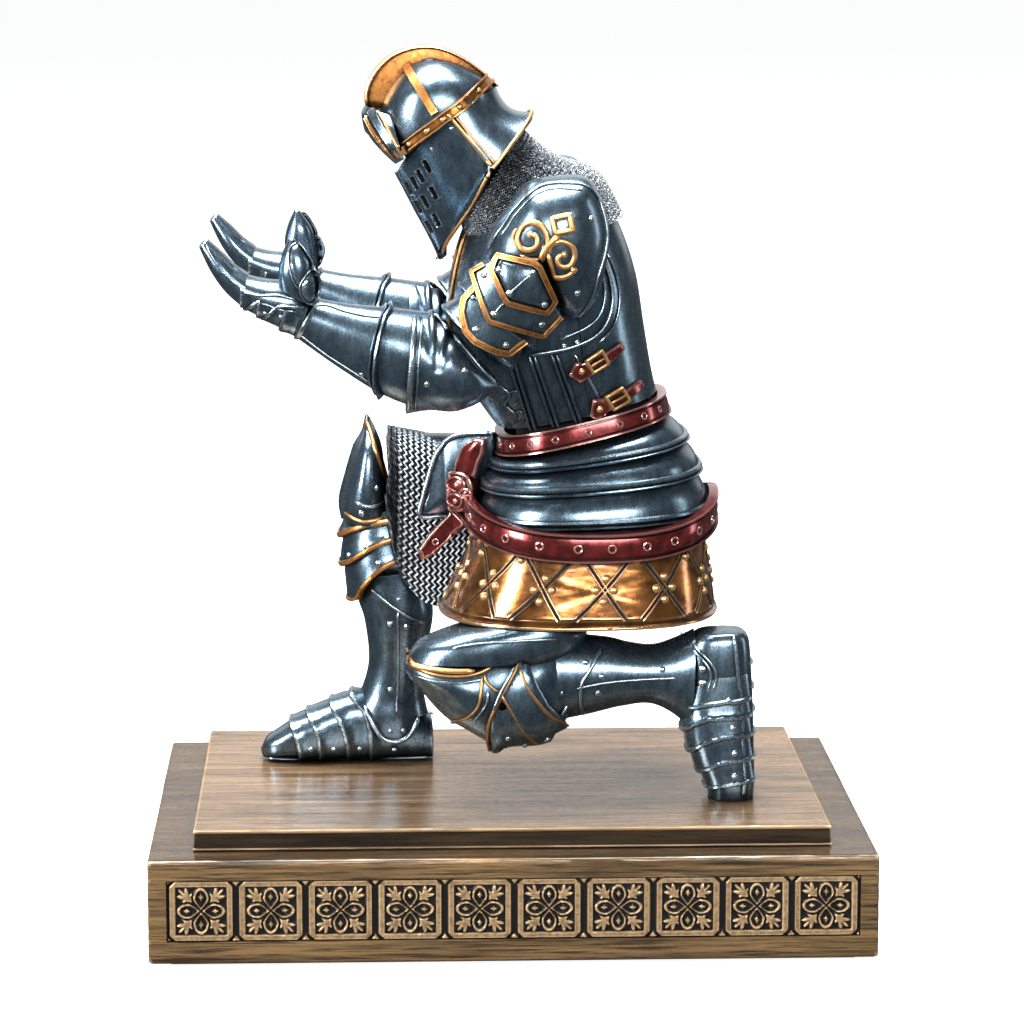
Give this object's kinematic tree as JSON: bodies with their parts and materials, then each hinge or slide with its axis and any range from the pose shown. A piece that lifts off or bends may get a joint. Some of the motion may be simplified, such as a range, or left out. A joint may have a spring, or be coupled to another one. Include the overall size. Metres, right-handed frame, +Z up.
{
  "type": "knight statuette pen holder",
  "caption": "Kneeling armoured knight statuette on a stepped plinth, both open hands held out palms up to carry a pen, with a relief frieze round the base.",
  "frame": {"origin": "centre of the plinth's footprint, on the surface it stands on", "axes": "+Z up, -X the way the knight faces, so the long side of the plinth lies along X; -Y the knight's left side"},
  "size_m": [0.1212, 0.0886, 0.1498],
  "materials": {
    "blued_steel": "cast resin painted dark blue steel, semi gloss, black wash in the recesses and pale dry-brushed edges",
    "gilt_trim": "antique gold paint with brown wash, semi gloss",
    "gilt_plate": "mottled antique gold paint with brown wash, semi gloss",
    "red_leather": "belt and straps cast in resin, painted metallic oxblood, rubbed pink on the edges",
    "mail": "cast chain mail texture, dark steel paint, rings dry-brushed silver",
    "plinth_bronze": "wood grain texture painted bronze brown with black streaks, glossy on top",
    "frieze_relief": "raised bronze tile relief over a black ground",
    "felt": "thin black felt"
  },
  "bodies": {
    "root": {"felt_pad": "felt", "plinth_block": "plinth_bronze", "frieze_left": "frieze_relief", "frieze_right": "frieze_relief", "frieze_front": "frieze_relief", "frieze_back": "frieze_relief", "plinth_slab": "plinth_bronze", "breastplate": "blued_steel", "backplate": "blued_steel", "side_strap_left_upper": "red_leather", "side_strap_right_upper": "red_leather", "side_strap_left_lower": "red_leather", "side_strap_right_lower": "red_leather", "waist_belt": "red_leather", "fauld_upper": "blued_steel", "fauld_middle": "blued_steel", "fauld_lower": "blued_steel", "hip_belt": "red_leather", "skirt": "gilt_plate", "poleyn_right": "blued_steel", "knee_lame_right_upper": "blued_steel", "knee_lame_right_lower": "blued_steel", "greave_right": "blued_steel", "sabaton_right": "blued_steel", "cuisse_left": "blued_steel", "poleyn_left": "blued_steel", "poleyn_wing_left": "blued_steel", "greave_left": "blued_steel", "sabaton_left": "blued_steel", "cuisse_right": "blued_steel", "mail_skirt": "mail", "tasset": "blued_steel", "front_strap": "red_leather", "hip_buckle": "red_leather", "belt_tail": "red_leather", "pauldron_left": "blued_steel", "pauldron_right": "blued_steel", "pauldron_lame_upper_left": "blued_steel", "pauldron_lame_upper_right": "blued_steel", "pauldron_lame_middle_left": "blued_steel", "pauldron_lame_middle_right": "blued_steel", "pauldron_lame_lower_left": "blued_steel", "pauldron_lame_lower_right": "blued_steel", "couter_left": "blued_steel", "couter_right": "blued_steel", "vambrace_left": "blued_steel", "vambrace_right": "blued_steel", "palm_left": "blued_steel", "palm_right": "blued_steel", "fingers_left": "blued_steel", "fingers_right": "blued_steel", "thumb_left": "blued_steel", "thumb_right": "blued_steel", "helmet_skull": "blued_steel", "visor": "blued_steel", "neck_guard": "blued_steel", "brow_plate": "blued_steel", "helmet_strapwork": "gilt_trim", "helmet_comb": "gilt_trim", "mail_collar": "mail"}
  },
  "joints": []
}
